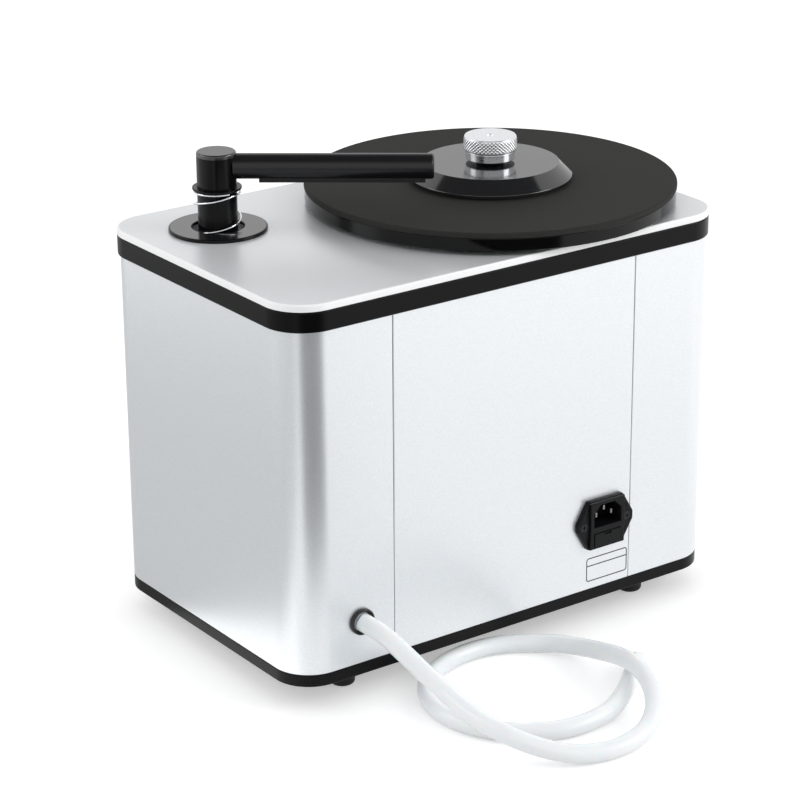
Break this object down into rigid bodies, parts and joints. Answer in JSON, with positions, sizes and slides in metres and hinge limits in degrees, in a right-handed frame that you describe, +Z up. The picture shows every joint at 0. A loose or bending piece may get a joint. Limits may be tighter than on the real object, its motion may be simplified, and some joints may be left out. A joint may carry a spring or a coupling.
{
  "type": "record cleaning machine",
  "caption": "Record cleaning machine: white case, driven platter with mat, screw-down record clamp, sprung suction arm that swings over it, power inlet and drain hose.",
  "frame": {"origin": "on the floor, in the middle of the footprint of the case and platter", "axes": "+Z up; +Y towards the rear face with the power inlet and drain; +X towards the suction arm's end"},
  "size_m": [0.39, 0.4302, 0.3514],
  "materials": {
    "black_steel": "satin powder coat",
    "white_steel": "satin powder coat",
    "deck_aluminium": "fine brushed satin",
    "plated_steel": "zinc plated",
    "spring_chrome": "polished",
    "arm_black": "satin anodised",
    "gloss_black": "gloss",
    "bearing_bronze": "machined",
    "platter_metal": "polished dark",
    "mat_rubber": "matt",
    "rubber_black": "matt",
    "pad_fabric": "short pile",
    "knob_aluminium": "knurled, bright",
    "clamp_black": "polished",
    "inlet_plastic": "fine grain",
    "contact_metal": "nickel plated",
    "fuse_glass": "clear",
    "hose_vinyl": "milky, translucent",
    "tank_plastic": "natural",
    "housing_plastic": "moulded",
    "motor_metal": "satin",
    "board_green": "coated",
    "wire_black": "satin"
  },
  "bodies": {
    "case": {"base_tray": "black_steel", "feet": "rubber_black", "foot_screws": "plated_steel", "left_cover": "white_steel", "right_cover": "white_steel", "rear_panel": "white_steel", "front_panel": "white_steel", "seam_posts": "plated_steel", "post_screws": "plated_steel", "top_trim": "black_steel", "top_plate": "deck_aluminium", "deck_screws": "plated_steel", "arm_flange": "gloss_black", "arm_guide": "motor_metal", "column_seal": "rubber_black", "thrust_washer": "bearing_bronze", "spindle_bearing": "bearing_bronze", "gear_motor": "motor_metal", "motor_bracket": "plated_steel", "power_inlet": "inlet_plastic", "inlet_pins": "contact_metal", "inlet_screws": "plated_steel", "drain_bush": "rubber_black", "drain_pipe": "hose_vinyl", "drain_hose": "hose_vinyl", "waste_tank": "tank_plastic", "tank_lid": "housing_plastic", "tank_rails": "plated_steel", "duct_sleeve": "rubber_black", "vacuum_hose": "rubber_black", "fan_housing": "housing_plastic", "vacuum_motor": "motor_metal", "motor_mount": "rubber_black", "power_board": "board_green", "wiring_loom": "wire_black", "switch_bodies": "inlet_plastic"},
    "platter_group": {"platter": "platter_metal", "platter_mat": "mat_rubber", "platter_screws": "plated_steel", "spindle": "plated_steel", "shaft_coupler": "motor_metal", "motor_shaft": "plated_steel"},
    "swivel": {"swivel_sleeve": "bearing_bronze", "arm_spring": "spring_chrome"},
    "arm": {"arm_column": "arm_black", "column_cap": "arm_black", "arm_collar": "arm_black", "arm_tube": "arm_black", "arm_end_plug": "arm_black", "slot_pads": "pad_fabric"},
    "clamp": {"clamp_disc": "clamp_black", "clamp_seal": "rubber_black"},
    "knob": {"clamp_knob": "knob_aluminium", "clamp_ring": "plated_steel"},
    "drawer": {"fuse_drawer": "inlet_plastic", "fuse": "fuse_glass"},
    "direction_rocker": {"platter_rocker": "inlet_plastic"},
    "power_rocker": {"vacuum_rocker": "inlet_plastic"},
    "fan": {"fan_impeller": "knob_aluminium"}
  },
  "joints": [
    {"name": "platter_spin", "type": "hinge", "parent": "case", "child": "platter_group", "pos_m": [-0.06, 0, 0.28], "axis": [0, 0, 1], "continuous": true},
    {"name": "clamp_lift", "type": "slide", "parent": "platter_group", "child": "clamp", "axis": [0, 0, 1], "range_m": [0, 0.0025]},
    {"name": "knob_turn", "type": "hinge", "parent": "clamp", "child": "knob", "pos_m": [-0.06, 0, 0.33], "axis": [0, 0, 1], "range_deg": [0, 720]},
    {"name": "arm_swing", "type": "hinge", "parent": "case", "child": "swivel", "pos_m": [0.1365, -0.0577, 0.262], "axis": [0, 0, 1], "range_deg": [-48, 10.5]},
    {"name": "arm_lift", "type": "slide", "parent": "swivel", "child": "arm", "axis": [0, 0, 1], "range_m": [-0.0185, 0], "stiffness_N_per_m": 250, "springref_m": 0.016, "deforming": ["arm_spring"]},
    {"name": "drawer_slide", "type": "slide", "parent": "case", "child": "drawer", "axis": [0, 1, 0], "range_m": [0, 0.02]},
    {"name": "direction_rock", "type": "hinge", "parent": "case", "child": "direction_rocker", "pos_m": [0.023, -0.116, 0.237], "axis": [1, 0, 0], "range_deg": [-9, 9]},
    {"name": "vacuum_rock", "type": "hinge", "parent": "case", "child": "power_rocker", "pos_m": [0.071, -0.116, 0.237], "axis": [1, 0, 0], "range_deg": [-18, 0]},
    {"name": "fan_spin", "type": "hinge", "parent": "case", "child": "fan", "pos_m": [-0.102, -0.045, 0.1], "axis": [0, 0, 1], "continuous": true}
  ],
  "couplings": [
    {"joint": "knob_turn", "follows": "clamp_lift", "rad_per_m": 5026.5}
  ]
}
